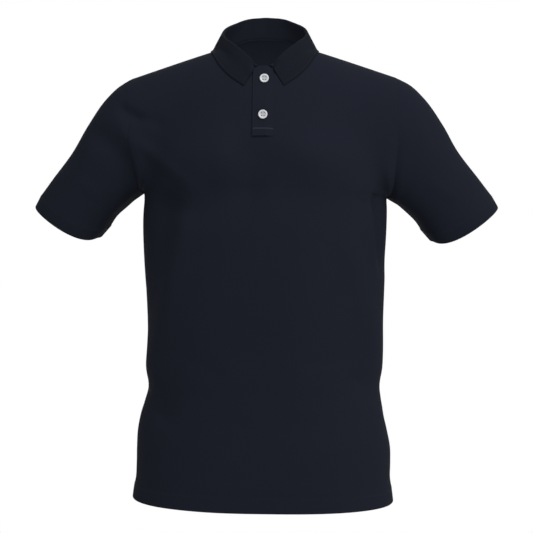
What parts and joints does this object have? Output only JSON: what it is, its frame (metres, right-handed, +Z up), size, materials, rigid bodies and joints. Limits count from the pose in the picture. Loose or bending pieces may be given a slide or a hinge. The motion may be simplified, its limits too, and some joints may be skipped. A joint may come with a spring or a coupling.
{
  "type": "polo shirt",
  "caption": "Short-sleeved polo shirt in worn form, hollow, with a turned-down collar, a buttoned placket and open neck, hem and cuffs.",
  "frame": {"origin": "midway between the two points where the shoulder seams meet the neck seam, where the wearer's shoulders hold the garment up", "axes": "+Z up along the garment's length, -Y out of the front, +X towards the wearer's left"},
  "size_m": [0.727, 0.2299, 0.7647],
  "materials": {
    "knit": "matt fine cotton knit, navy",
    "collar_knit": "matt fine cotton knit, navy",
    "button": "white, gloss rim, satin middle"
  },
  "bodies": {
    "root": {"front": "knit", "back": "knit", "sleeve_left": "knit", "sleeve_right": "knit", "collar": "collar_knit", "placket_upper": "knit", "placket_under": "knit", "button_upper": "button", "button_lower": "button"}
  },
  "joints": []
}
